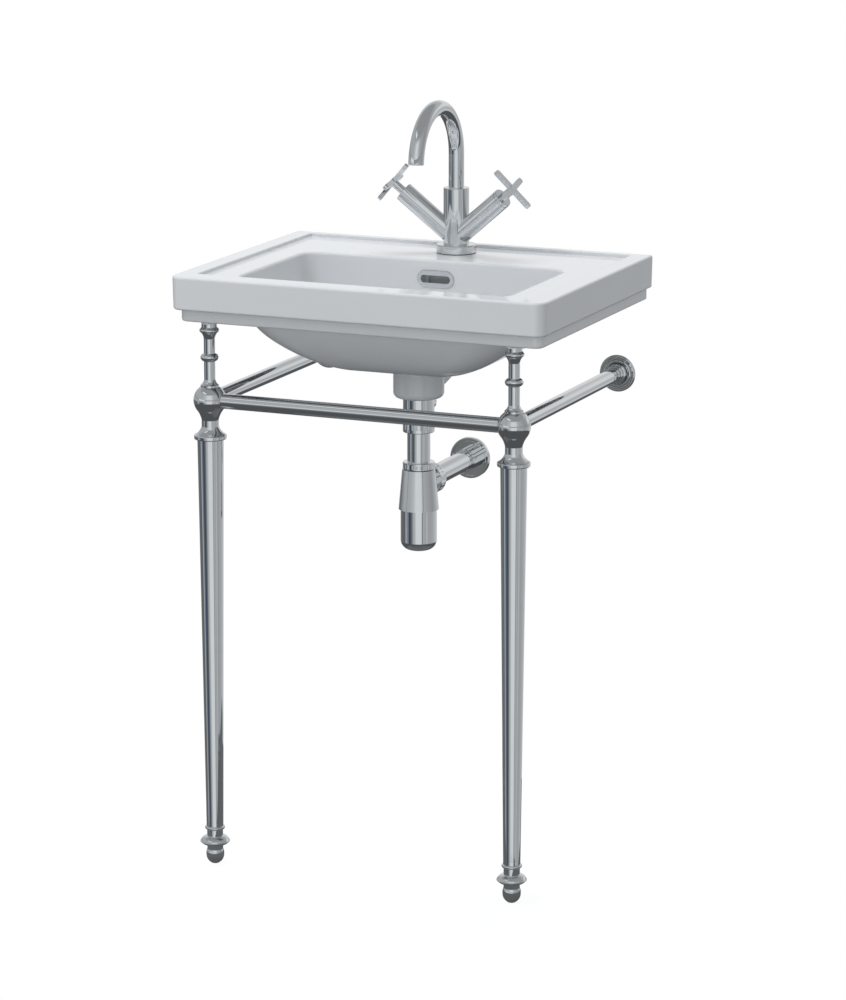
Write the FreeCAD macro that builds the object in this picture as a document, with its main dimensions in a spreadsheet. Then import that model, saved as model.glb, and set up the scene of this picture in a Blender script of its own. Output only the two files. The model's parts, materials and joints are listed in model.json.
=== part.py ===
import FreeCAD, Part

# A console basin on two turned front legs: a rectangular glazed basin on the wall, a front rail and two
# side rails between ball joints and wall flanges, a mono mixer with two cross handles and a swivel spout,
# a push waste and a bottle trap.  Millimetres.  X is to the viewer's right, Y towards the wall, Z up.
# The origin is on the floor, in the middle of the basin's width and depth.

import math
import os

import Sketcher
from FreeCAD import Placement, Rotation, Vector

SIZES = {
    # basin
    "basin_width": 560,
    "basin_depth": 430,
    "rim_height": 853.5,
    "slab_height": 47.5,
    "slab_draft": 1.2,
    "slab_corner": 19,
    "slab_edge": 3.5,
    "tier_height": 18,
    "tier_inset_side": 8.5,
    "tier_inset_front": 15,
    "tier_corner": 13.5,
    "border_side": 28,
    "border_front": 36,
    "border_back": 12,
    "deck_recess": 5,
    "deck_corner": 5,
    "deck_thickness": 14,
    "step_round": 1.5,
    "skirt_wall": 14,
    "back_wall": 22,
    "leg_boss": 22,
    # bowl and belly
    "bowl_width": 406,
    "bowl_front_shelf": 19,
    "tap_deck": 123,
    "bowl_corner": 25,
    "bowl_floor_width": 150,
    "bowl_floor_front": 80,
    "bowl_floor_back": 50,
    "bowl_floor_corner": 45,
    "bowl_edge": 4.5,
    "bowl_curve": 2.2,
    "belly_width": 411,
    "belly_front_gap": 41,
    "belly_back_gap": 96,
    "belly_corner": 62,
    "belly_margin": 8,
    "belly_floor_width": 166,
    "belly_floor_front": 95,
    "belly_floor_back": 64,
    "belly_floor_corner": 26,
    "belly_depth": 76,
    "belly_curve": 1.4,
    "floor_thickness": 14,
    # drain boss
    "drain_from_wall": 197,
    "boss_dia": 73,
    "boss_drop": 51,
    "boss_round": 8,
    "drain_bore_dia": 43,
    "flange_recess_dia": 66,
    "flange_recess_depth": 4.5,
    "gasket_recess_dia": 55,
    "gasket_recess_depth": 6.5,
    # overflow: its hole, ring, duct and the ridge that covers the duct
    "overflow_below_deck": 27.5,
    "overflow_hole_width": 48,
    "overflow_hole_height": 13.5,
    "overflow_ring_width": 57,
    "overflow_ring_height": 25,
    "overflow_ring_proud": 2.4,
    "overflow_ring_wall": 1.5,
    "overflow_sleeve_length": 9,
    "ring_seat_depth": 0.3,
    "ring_round": 0.8,
    "overflow_duct_width": 34,
    "overflow_duct_depth": 12,
    "duct_cover": 9,
    "duct_bend": 10,
    "ridge_lift": 6,
    "ridge_run": 70,
    "ridge_rise": 17,
    "ridge_lean": 21,
    "ridge_height": 36,
    # holes for the tap and the wall bolts
    "tap_hole_dia": 35,
    "tap_from_wall": 58.5,
    "wall_bolt_spacing": 280,
    "wall_bolt_hole_dia": 12,
    "wall_bolt_below_rim": 38,
    # leg foot
    "leg_inset": 51,
    "leg_setback": 25,
    "foot_tip_dia": 10,
    "foot_ball_dia": 25.6,
    "foot_ball_level": 13.6,
    "foot_ball_cap": 7.4,
    "foot_neck_dia": 22.8,
    "foot_disc_dia": 42.7,
    "foot_disc_gap": 7,
    "foot_disc_edge": 2,
    "foot_disc_fall": 5,
    "foot_disc_rise": 7.5,
    "foot_ring_dia": 28.6,
    "foot_ring_gap": 9.9,
    "foot_ring_edge": 2.6,
    "foot_cuff": 4.9,
    # leg tube, hub and spindle
    "leg_bottom_dia": 24.2,
    "leg_top_dia": 37,
    "hub_drop": 61,
    "leg_wall": 1.6,
    "spigot_length": 15,
    "collar_lift": 5.7,
    "collar_dia": 46,
    "collar_edge": 6.3,
    "collar_round": 1.4,
    "ball_neck_dia": 24.4,
    "collar_neck_gap": 11.7,
    "ball_neck_length": 9.2,
    "ball_foot_dia": 37,
    "ball_dia": 46.5,
    "ball_cap_dia": 26,
    "stem_dia": 15.8,
    "stem_thread_dia": 10,
    "stem_thread_length": 18,
    "flare_rim": 2.4,
    "flare_rise": 10.4,
    "mid_ring_gap": 36.1,
    "mid_ring_dia": 25.9,
    "mid_ring_height": 11.3,
    "top_ring_dia": 27.6,
    "top_ring_drop": 9.5,
    "top_ring_edge": 5,
    "top_ring_step": 2,
    "top_ring_flare": 12,
    "top_cap_dia": 21.8,
    "pad_thickness": 1.5,
    # rails
    "rail_drop": 110.5,
    "rail_dia": 21.5,
    "rail_wall": 1.5,
    "rail_socket_inset": 12,
    "rail_flange_dia": 54,
    "rail_flange_step": 1.8,
    "rail_neck_dia": 17,
    "rail_wall_gap": 36,
    "rail_collar": 3,
    "rail_plug_length": 12,
    # waste
    "waste_thread_dia": 42,
    "waste_bore_dia": 37,
    "waste_flange_dia": 63,
    "waste_flange_height": 3.5,
    "waste_seal": 2,
    "gasket_thickness": 3,
    "tail_wall": 3,
    "tail_length": 14,
    "tube_entry": 9,
    "port_body_dia": 45,
    "port_body_drop": 31,
    "port_drop": 13,
    "port_dia": 18,
    "port_wall": 2,
    "port_reach": 32,
    "port_cap_dia": 24,
    "port_cap_length": 13,
    "port_cap_overlap": 6,
    "port_cap_ease": 2,
    # push plug and its guide
    "guide_lift": 11,
    "guide_wall": 2.5,
    "guide_plate": 3,
    "guide_height": 16,
    "guide_hole_dia": 8,
    "plug_dia": 46,
    "plug_rise": 4,
    "plug_ease": 2,
    "plug_sunk": 0.5,
    "plug_travel": 9,
    "plug_stem_dia": 8,
    "plug_seal_height": 3,
    # trap
    "tube_dia": 33,
    "tube_wall": 1.2,
    "tube_dip": 23,
    "union_dia": 45.6,
    "union_lip": 2.5,
    "union_washer": 2.5,
    "grip_groove": 1.5,
    "grip_depth": 0.7,
    "trap_union_height": 10.5,
    "inlet_tube_shown": 44,
    "trap_body_height": 58.5,
    "trap_roof": 4,
    "trap_wall": 2.4,
    "trap_thread_dia": 39.8,
    "skirt_top_dia": 47.5,
    "skirt_bottom_dia": 58,
    "skirt_overlap": 7,
    "skirt_gap": 0.5,
    "bottle_dia": 52.2,
    "bottle_shown": 61.5,
    "bottle_dome": 11,
    "bottle_thread_dia": 47,
    "bottle_thread_length": 9,
    "bottle_wall": 2.2,
    "bottle_seal": 2,
    # trap outlet
    "outlet_drop": 23,
    "outlet_dia": 30,
    "outlet_union_reach": 49,
    "outlet_union_height": 18,
    "outlet_flange_dia": 61,
    "outlet_flange_thickness": 7,
    "outlet_rim_width": 4,
    "outlet_rim_groove": 1.2,
    "outlet_face_drop": 0.4,
    "outlet_sleeve_length": 26,
    "outlet_sleeve_wall": 1.8,
    "outlet_sleeve_ease": 0.6,
    # tap body
    "base_seal": 1,
    "base_ring_dia": 58,
    "base_ring_height": 12.5,
    "base_ring_ease": 2,
    "base_step": 4,
    "tap_body_dia": 37,
    "tap_body_height": 82,
    "waterway_dia": 12,
    "arm_dia": 28.8,
    "arm_tilt": 40,
    "arm_lean": 9,
    "arm_root_rise": 7.6,
    "arm_length": 97.5,
    # tap fixing and supply tails
    "shank_dia": 30,
    "shank_length": 56,
    "shank_thread": 12,
    "shank_wall": 4,
    "supply_tail_dia": 10,
    "supply_tail_wall": 1.2,
    "supply_tail_length": 63,
    "supply_tail_spacing": 13,
    "tail_thread_dia": 9,
    "tail_relief": 1,
    "tail_hole_depth": 14,
    "backnut_flats": 41,
    "backnut_height": 8,
    "washer_dia": 43,
    "washer_thickness": 3,
    # valves and handles
    "arm_gap": 0.9,
    "bonnet_height": 4.2,
    "bonnet_inset": 1.2,
    "cartridge_dia": 20,
    "cartridge_length": 42,
    "spindle_dia": 8,
    "spindle_floor": 14,
    "handle_stem_dia": 12,
    "handle_level": 122.5,
    "handle_span": 70.5,
    "handle_bar_width": 8.5,
    "handle_bar_depth": 6,
    "handle_hub_dia": 13,
    "handle_cap": 1,
    "left_twist": 8,
    "right_twist": 18,
    # spout
    "spout_dia": 22.4,
    "spout_wall": 1.5,
    "spout_arc": 74,
    "spout_arc_rise": 49,
    "spout_turn": 176.5,
    "spout_socket": 26,
    "seal_groove": 1,
    "seal_width": 2,
    "aerator_length": 5,
    "aerator_wall": 2,
    "aerator_lip": 1.5,
    "aerator_shoulder": 0.5,
    # small machined edges, and running and seating clearances
    "edge_ease": 1,
    "slide_gap": 0.05,
    "end_gap": 0.2,
}

doc = FreeCAD.newDocument("ConsoleBasin")
sheet = doc.addObject("Spreadsheet::Sheet", "Sizes")
for row, (alias, value) in enumerate(SIZES.items(), start=1):
    sheet.set(f"A{row}", alias.replace("_", " "))
    sheet.set(f"B{row}", str(value))
    sheet.setAlias(f"B{row}", alias)
doc.recompute()


class Size:
    """A length as a number, together with the spreadsheet formula that gives the same number."""

    def __init__(self, value, formula):
        self.value = float(value)
        self.formula = formula

    @staticmethod
    def of(thing):
        return thing if isinstance(thing, Size) else Size(thing, repr(float(thing)))

    def combined(self, other, sign, value):
        return Size(value, f"({self.formula} {sign} {other.formula})")

    def __add__(self, other):
        other = Size.of(other)
        return self.combined(other, "+", self.value + other.value)

    def __sub__(self, other):
        other = Size.of(other)
        return self.combined(other, "-", self.value - other.value)

    def __mul__(self, other):
        other = Size.of(other)
        return self.combined(other, "*", self.value * other.value)

    def __truediv__(self, other):
        other = Size.of(other)
        return self.combined(other, "/", self.value / other.value)

    def __pow__(self, other):
        other = Size.of(other)
        return self.combined(other, "^", self.value ** other.value)

    def __radd__(self, other):
        return Size.of(other) + self

    def __rsub__(self, other):
        return Size.of(other) - self

    def __rmul__(self, other):
        return Size.of(other) * self

    def __rpow__(self, other):
        return Size.of(other) ** self

    def __rtruediv__(self, other):
        return Size.of(other) / self

    def __neg__(self):
        return Size.of(0) - self


class Named:
    """The sheet's sizes by name."""


size = Named()
for alias, value in SIZES.items():
    setattr(size, alias, Size(value, f"Sizes.{alias}"))


def cosine(angle):
    return Size(math.cos(math.radians(angle.value)), f"cos({angle.formula})")


def sine(angle):
    return Size(math.sin(math.radians(angle.value)), f"sin({angle.formula})")


# bulges of arcs: a quarter circle, a lens's flank, a shallow swell and two hollow flanks
QUARTER = math.tan(math.radians(22.5))
LENS = 0.3
SWELL = 0.15
HOLLOW = -0.2
FAINT_HOLLOW = -0.12
AXIS = 0
LEVEL = (0, 0, 0)
TO_WALL = (0, 0, -90)
FROM_WALL = (0, 0, 90)
ACROSS = (0, 90, 0)


def bind(thing, prop, amount):
    thing.setExpression(prop, Size.of(amount).formula)


def seat(thing, prop, spot, turn=LEVEL):
    """Tie a placement to the sheet: where it is, and its turns about Z, then Y, then X in degrees."""
    spot = [Size.of(v) for v in spot]
    turn = [Size.of(v) for v in turn]
    setattr(thing, prop, Placement(Vector(*[v.value for v in spot]), Rotation(*[v.value for v in turn])))
    where = "; ".join(v.formula for v in spot)
    turned_by = "; ".join(v.formula for v in turn)
    thing.setExpression(prop, f"placement(vector({where}); rotation({turned_by}))")


def new_body(label, spot=(0, 0, 0), turn=LEVEL):
    body = doc.addObject("PartDesign::Body", label)
    body.Label = label
    seat(body, "Placement", spot, turn)
    return body


def new_sketch(body, plane, spot=(0, 0, 0), turn=LEVEL):
    """A sketch on one of the body's own planes, moved and turned within that plane's frame."""
    sketch = body.newObject("Sketcher::SketchObject", f"{body.Label}_sketch")
    support = [f for f in body.Origin.OriginFeatures if f.Role == plane][0]
    sketch.AttachmentSupport = [(support, "")]
    sketch.MapMode = "FlatFace"
    seat(sketch, "AttachmentOffset", spot, turn)
    return sketch


def tie(sketch, kind, amount, *where):
    """Add one dimension and tie it to the sheet."""
    amount = Size.of(amount)
    index = sketch.addConstraint(Sketcher.Constraint(kind, *where, amount.value))
    bind(sketch, f"Constraints[{index}]", amount)


def pin_point(sketch, edge, end, across, up):
    """Hold one end of an edge at (across, up); AXIS puts it on the sketch's own axis."""
    for amount, kind, axis in ((across, "DistanceX", -2), (up, "DistanceY", -1)):
        if isinstance(amount, int) and amount == AXIS:
            sketch.addConstraint(Sketcher.Constraint("PointOnObject", edge, end, axis))
        else:
            tie(sketch, kind, amount, -1, 1, edge, end)


def outline(sketch, corners):
    """A closed outline.  A corner is (across, up), or (across, up, bulge) where an arc leads to it: the
    bulge is the tangent of a quarter of the arc's angle, positive when the arc runs anticlockwise."""
    points = [(Size.of(c[0]), Size.of(c[1])) for c in corners]
    edges = []
    for i, corner in enumerate(corners):
        start, end = (Vector(p[0].value, p[1].value, 0) for p in (points[i - 1], points[i]))
        bulge = corner[2] if len(corner) > 2 else 0
        if not bulge:
            edges.append((sketch.addGeometry(Part.LineSegment(start, end)), 1, 2))
            continue
        chord = end - start
        centre = (start + end) / 2 + Vector(-chord.y, chord.x, 0) * ((1 - bulge * bulge) / (4 * bulge))
        radius = (start - centre).Length
        first, last = (start, end) if bulge > 0 else (end, start)
        angles = [math.atan2(p.y - centre.y, p.x - centre.x) for p in (first, last)]
        edge = sketch.addGeometry(Part.ArcOfCircle(Part.Circle(centre, Vector(0, 0, 1), radius), *angles))
        edges.append((edge, 1, 2) if bulge > 0 else (edge, 2, 1))
        run = points[i][0] - points[i - 1][0]
        rise = points[i][1] - points[i - 1][1]
        span = (run * run + rise * rise) ** 0.5
        tie(sketch, "Radius", span * ((1 + bulge * bulge) / (4 * abs(bulge))), edge)
    for i, corner in enumerate(corners):
        edge, _, last = edges[i]
        following, start, _ = edges[(i + 1) % len(edges)]
        sketch.addConstraint(Sketcher.Constraint("Coincident", edge, last, following, start))
        pin_point(sketch, edge, last, corner[0], corner[1])


def circle(sketch, radius, across=AXIS, up=AXIS):
    """A circle whose radius and centre are tied to the sheet."""
    spot = Vector(Size.of(across).value, Size.of(up).value, 0)
    edge = sketch.addGeometry(Part.Circle(spot, Vector(0, 0, 1), Size.of(radius).value))
    tie(sketch, "Radius", radius, edge)
    pin_point(sketch, edge, 3, across, up)


def rectangle(half_width, low, high, centre=0):
    """A rectangle of the given half width, from low to high."""
    left = centre - half_width
    right = centre + half_width
    return [(left, low), (right, low), (right, high), (left, high)]


def rounded(half_width, low, high, low_round, high_round=None):
    """A rectangle about the vertical axis with its low and high corners rounded."""
    high_round = low_round if high_round is None else high_round
    return [
        (-half_width + low_round, low, QUARTER),
        (half_width - low_round, low),
        (half_width, low + low_round, QUARTER),
        (half_width, high - high_round),
        (half_width - high_round, high, QUARTER),
        (-half_width + high_round, high),
        (-half_width, high - high_round, QUARTER),
        (-half_width, low + low_round),
    ]


def front_rounded(half_width, low, high, low_round):
    """A rectangle about the vertical axis with only its low corners rounded."""
    return rounded(half_width, low, high, low_round)[:3] + [
        (half_width, high),
        (-half_width, high),
        (-half_width, low + low_round),
    ]


def slot(half_width, half_height, up):
    """A slot with round ends, centred across and at the given height."""
    flat = half_width - half_height
    return [
        (flat, up - half_height),
        (half_width, up, QUARTER),
        (flat, up + half_height, QUARTER),
        (-flat, up + half_height),
        (-half_width, up, QUARTER),
        (-flat, up - half_height, QUARTER),
    ]


def feature(body, kind, sketch=None):
    made = body.newObject(f"PartDesign::{kind}", f"{body.Label}_{kind.lower()}")
    if sketch is not None:
        made.Profile = sketch
    return made


def turned(body, corners, kind="Revolution"):
    """Revolve an outline of (radius, height) corners round the body's Z axis."""
    sketch = new_sketch(body, "XZ_Plane")
    outline(sketch, corners)
    made = feature(body, kind, sketch)
    made.ReferenceAxis = (sketch, ["V_Axis"])
    made.Angle = 360
    return made


def ring(body, inner, outer, high, low=0):
    """A plain turned ring."""
    return turned(body, [(inner, low), (outer, low), (outer, high), (inner, high)])


def raised(body, sketch, length, kind="Pad", midplane=False, backward=False, draft=0):
    """A Pad or a Pocket of a sketch."""
    made = feature(body, kind, sketch)
    bind(made, "Length", length)
    made.Midplane = midplane
    made.Reversed = backward
    if draft:
        bind(made, "TaperAngle", draft)
    return made


def lofted(body, sketches, kind="AdditiveLoft"):
    made = feature(body, kind, sketches[0])
    made.Sections = sketches[1:]
    return made


def patterned(body, original, count):
    """Repeat a feature round the body's Z axis."""
    made = feature(body, "PolarPattern")
    made.Originals = [original]
    made.Axis = ([f for f in body.Origin.OriginFeatures if f.Role == "Z_Axis"][0], [""])
    made.Angle = 360
    made.Occurrences = count
    body.Tip = made
    return made


def rounded_edges(body, test, radius):
    """Fillet every edge of the body so far whose middle and ends pass the test."""
    doc.recompute()
    base = body.Tip
    names = []
    for number, edge in enumerate(base.Shape.Edges, start=1):
        box = edge.BoundBox
        if test(box.XMin, box.XMax, box.YMin, box.YMax, box.ZMin, box.ZMax):
            names.append(f"Edge{number}")
    made = feature(body, "Fillet")
    made.Base = (base, names)
    bind(made, "Radius", radius)
    return made


half_basin = size.basin_width / 2
wall_y = size.basin_depth / 2
front_y = -wall_y
deck_z = size.rim_height - size.deck_recess
slab_bottom = size.rim_height - size.slab_height
tier_bottom = slab_bottom - size.tier_height
deck_underside = deck_z - size.deck_thickness
belly_low = tier_bottom - size.belly_depth
boss_low = belly_low - size.boss_drop
drain_y = wall_y - size.drain_from_wall
tap_y = wall_y - size.tap_from_wall
bowl_front = front_y + size.border_front + size.bowl_front_shelf
bowl_back = wall_y - size.border_back - size.tap_deck
bowl_floor = belly_low + size.floor_thickness
overflow_z = deck_z - size.overflow_below_deck
flange_seat = bowl_floor - size.flange_recess_depth
gasket_seat = boss_low + size.gasket_recess_depth
duct_half = size.overflow_duct_width / 2
duct_front = bowl_back + size.overflow_sleeve_length
SECTIONS = (0.0, 0.3, 0.55, 0.76, 0.9, 0.97, 1.0)


def eased(share, top, floor, curve):
    """A size part of the way down a bowl: it leaves the top straight and comes to the floor level."""
    left = (1 - share ** curve) ** (1 / curve)
    return floor - (floor - top) * left


def bowl_sections(body, top, floor, curve):
    """Sketches of a bowl's level sections.  top and floor are (half width, front, back, corner, z)."""
    sketches = []
    for share in SECTIONS:
        half, low, high, corner = (eased(share, a, b, curve) for a, b in zip(top[:4], floor[:4]))
        level = top[4] - (top[4] - floor[4]) * share
        sketch = new_sketch(body, "XY_Plane", (0, 0, level))
        outline(sketch, rounded(half, low, high, corner))
        sketches.append(sketch)
    return sketches


basin = new_body("basin")
slab = new_sketch(basin, "XY_Plane", (0, 0, size.rim_height))
outline(slab, front_rounded(half_basin, front_y, wall_y + size.deck_recess, size.slab_corner))
raised(basin, slab, size.slab_height, backward=True, draft=-size.slab_draft)
tier = new_sketch(basin, "XY_Plane", (0, 0, tier_bottom))
tier_half = half_basin - size.tier_inset_side
outline(tier, front_rounded(tier_half, front_y + size.tier_inset_front, wall_y, size.tier_corner))
raised(basin, tier, size.tier_height)
beyond = new_sketch(basin, "XY_Plane", (0, 0, size.rim_height))
outline(beyond, rectangle(size.basin_width, wall_y, wall_y + size.basin_depth))
raised(basin, beyond, size.rim_height - tier_bottom, kind="Pocket")


def on_outer_edge(x0, x1, y0, y1, z0, z1):
    if z1 - z0 > 0.01 or y0 > wall_y.value - 1:
        return False
    if abs(z0 - slab_bottom.value) < 0.01:
        at_side = max(-x0, x1) > half_basin.value - size.slab_edge.value
        return at_side or y0 < front_y.value + size.slab_edge.value
    return True


rounded_edges(basin, on_outer_edge, size.slab_edge)

hollow = new_sketch(basin, "XY_Plane", (0, 0, tier_bottom))
tier_front = front_y + size.tier_inset_front
hollow_half = tier_half - size.skirt_wall
outline(hollow, rounded(hollow_half, tier_front + size.skirt_wall, wall_y - size.back_wall, size.tier_corner))
belly_half = size.belly_width / 2
belly_front = tier_front + size.belly_front_gap
belly_back = wall_y - size.belly_back_gap
around = size.belly_margin
outline(hollow, rounded(belly_half + around, belly_front - around, belly_back + around, size.belly_corner))
raised(basin, hollow, deck_underside - tier_bottom, kind="Pocket", backward=True)

leg_x = half_basin - size.leg_inset
leg_y = front_y + size.leg_setback
bosses = new_sketch(basin, "XY_Plane", (0, 0, tier_bottom))
for centre in (-leg_x, leg_x):
    outline(bosses, rectangle(size.leg_boss, tier_front + size.skirt_wall / 2, leg_y + size.leg_boss, centre))
raised(basin, bosses, deck_underside - tier_bottom + size.deck_thickness / 2)

belly_top = (belly_half, belly_front, belly_back, size.belly_corner, tier_bottom)
belly_floor = (
    size.belly_floor_width / 2,
    drain_y - size.belly_floor_front,
    drain_y + size.belly_floor_back,
    size.belly_floor_corner,
    belly_low,
)
lofted(basin, bowl_sections(basin, belly_top, belly_floor, size.belly_curve))
boss = new_sketch(basin, "XY_Plane", (0, 0, boss_low))
circle(boss, size.boss_dia / 2, up=drain_y)
raised(basin, boss, belly_low - boss_low + size.floor_thickness / 2)


def on_boss(x0, x1, y0, y1, z0, z1):
    low = abs(z1 - boss_low.value) < 0.01
    high = abs(z0 - belly_low.value) < 0.01
    return z1 - z0 < 0.01 and (low or high) and abs(x1 - x0 - size.boss_dia.value) < 0.01


rounded_edges(basin, on_boss, size.boss_round)
ridge = new_sketch(basin, "YZ_Plane")
ridge_turn = drain_y + size.ridge_run
ridge_low = boss_low + size.ridge_lift
ridge_top = belly_low + size.ridge_height
outline(
    ridge,
    [
        (drain_y, ridge_low),
        (ridge_turn, ridge_low + size.ridge_rise),
        (ridge_turn + size.ridge_lean, ridge_top),
        (drain_y, ridge_top),
    ],
)
raised(basin, ridge, (duct_half + size.duct_cover) * 2, midplane=True)

recess = new_sketch(basin, "XY_Plane", (0, 0, size.rim_height))
recess_half = half_basin - size.border_side
recess_back = wall_y - size.border_back
outline(recess, rounded(recess_half, front_y + size.border_front, recess_back, size.deck_corner))
raised(basin, recess, size.deck_recess, kind="Pocket")
bowl_top = (size.bowl_width / 2, bowl_front, bowl_back, size.bowl_corner, deck_z)
bowl_bottom = (
    size.bowl_floor_width / 2,
    drain_y - size.bowl_floor_front,
    drain_y + size.bowl_floor_back,
    size.bowl_floor_corner,
    bowl_floor,
)
lofted(basin, bowl_sections(basin, bowl_top, bowl_bottom, size.bowl_curve), "SubtractiveLoft")


def on_bowl_edge(x0, x1, y0, y1, z0, z1):
    level = abs(z0 - deck_z.value) < 0.01 and abs(z1 - deck_z.value) < 0.01
    return level and max(-x0, x1) < size.bowl_width.value / 2 + 1 and y1 < bowl_back.value + 1


def on_deck_step(x0, x1, y0, y1, z0, z1):
    inside = max(-x0, x1) < recess_half.value + 1 and y1 < recess_back.value + 1
    return z1 - z0 < 0.01 and z0 > deck_z.value - 0.01 and inside and not on_bowl_edge(x0, x1, y0, y1, z0, z1)


rounded_edges(basin, on_bowl_edge, size.bowl_edge)
rounded_edges(basin, on_deck_step, size.step_round)

duct = new_sketch(basin, "YZ_Plane")
duct_back = duct_front + size.overflow_duct_depth
duct_top = overflow_z + size.overflow_duct_depth
duct_turn = ridge_low + size.ridge_rise
bend = size.duct_bend
outline(
    duct,
    [
        (drain_y, duct_turn),
        (ridge_turn - bend, duct_turn + bend / 2),
        (duct_back, ridge_top),
        (duct_back, duct_top),
        (duct_front, duct_top),
        (duct_front, ridge_top),
        (ridge_turn - bend * 2, duct_turn + bend * 2),
        (drain_y, duct_turn + bend * 1.5),
    ],
)
raised(basin, duct, size.overflow_duct_width, kind="Pocket", midplane=True)
mouth = new_sketch(basin, "XZ_Plane", (0, 0, size.overflow_duct_depth - bowl_back))
outline(mouth, slot(size.overflow_hole_width / 2, size.overflow_hole_height / 2, overflow_z))
raised(basin, mouth, duct_front + size.overflow_duct_depth * 1.5 - bowl_back, kind="Pocket")
ring_seat = new_sketch(basin, "XZ_Plane", (0, 0, size.overflow_duct_depth - bowl_back))
seat_half = size.overflow_ring_width / 2 + size.end_gap
outline(ring_seat, slot(seat_half, size.overflow_ring_height / 2 + size.end_gap, overflow_z))
raised(basin, ring_seat, size.overflow_duct_depth + size.ring_seat_depth, kind="Pocket")

drain_cuts = (
    (size.drain_bore_dia, bowl_floor, bowl_floor - boss_low, False),
    (size.flange_recess_dia, bowl_floor, size.flange_recess_depth, False),
    (size.gasket_recess_dia, boss_low, size.gasket_recess_depth, True),
)
for diameter, level, depth, backward in drain_cuts:
    cut = new_sketch(basin, "XY_Plane", (0, 0, level))
    circle(cut, diameter / 2, up=drain_y)
    raised(basin, cut, depth, kind="Pocket", backward=backward)
tap_hole = new_sketch(basin, "XY_Plane", (0, 0, deck_z))
circle(tap_hole, size.tap_hole_dia / 2, up=tap_y)
raised(basin, tap_hole, size.deck_thickness, kind="Pocket")
bolt_holes = new_sketch(basin, "XZ_Plane", (0, 0, -wall_y))
for across in (-size.wall_bolt_spacing / 2, size.wall_bolt_spacing / 2):
    circle(bolt_holes, size.wall_bolt_hole_dia / 2, across, size.rim_height - size.wall_bolt_below_rim)
raised(basin, bolt_holes, size.back_wall, kind="Pocket", backward=True)

# overflow ring: a slotted flange with a sleeve into the hole, made lying in the bowl's back wall
ring_y = bowl_back + size.ring_seat_depth
overflow_ring = new_body("overflow_ring", (0, ring_y, 0))
flange = new_sketch(overflow_ring, "XZ_Plane")
sleeve_half = size.overflow_hole_width / 2 - size.slide_gap
sleeve_rise = size.overflow_hole_height / 2 - size.slide_gap
outline(flange, slot(size.overflow_ring_width / 2, size.overflow_ring_height / 2, overflow_z))
raised(overflow_ring, flange, size.overflow_ring_proud)
sleeve = new_sketch(overflow_ring, "XZ_Plane")
outline(sleeve, slot(sleeve_half, sleeve_rise, overflow_z))
raised(overflow_ring, sleeve, size.overflow_sleeve_length, backward=True)
way = new_sketch(overflow_ring, "XZ_Plane", (0, 0, size.overflow_ring_proud))
lip = size.overflow_ring_wall
outline(way, slot(sleeve_half - lip, sleeve_rise - lip, overflow_z))
raised(overflow_ring, way, size.overflow_ring_proud + size.overflow_sleeve_length, kind="Pocket")


def on_ring_face(x0, x1, y0, y1, z0, z1):
    return y1 < -size.overflow_ring_proud.value + 0.01


rounded_edges(overflow_ring, on_ring_face, size.ring_round)

# legs, named for the side they stand on; each stands on a turned foot and holds the basin on its pad
rail_level = tier_bottom - size.rail_drop
leg_top = rail_level - size.hub_drop
neck = size.foot_neck_dia / 2
foot_ball_top = size.foot_ball_level + size.foot_ball_cap
foot_disc = foot_ball_top + size.foot_disc_gap + size.foot_disc_fall
foot_ring = foot_disc + size.foot_disc_rise + size.foot_ring_gap + size.foot_ring_edge
foot_top = foot_ring + size.foot_ring_edge + size.foot_cuff
tube_inner = size.leg_bottom_dia / 2 - size.leg_wall
tube_mouth = size.leg_top_dia / 2 - size.leg_wall
tube_length = leg_top - foot_top
taper = (tube_mouth - tube_inner) / tube_length
ball = size.ball_dia / 2
cap = size.ball_cap_dia / 2
cap_rise = (ball * ball - cap * cap) ** 0.5
ball_bulge = math.tan(math.asin(cap_rise.value / ball.value) / 4)
ball_foot = size.ball_foot_dia / 2
foot_drop = (ball * ball - ball_foot * ball_foot) ** 0.5
foot_bulge = math.tan(math.asin(foot_drop.value / ball.value) / 4)
socket = size.rail_dia / 2 + size.slide_gap
socket_floor = ball - size.rail_socket_inset
hub_base = leg_top - size.spigot_length
ball_top = rail_level + cap_rise
stem = size.stem_dia / 2
spindle_base = ball_top - size.stem_thread_length
pad_level = tier_bottom - size.pad_thickness
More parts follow.
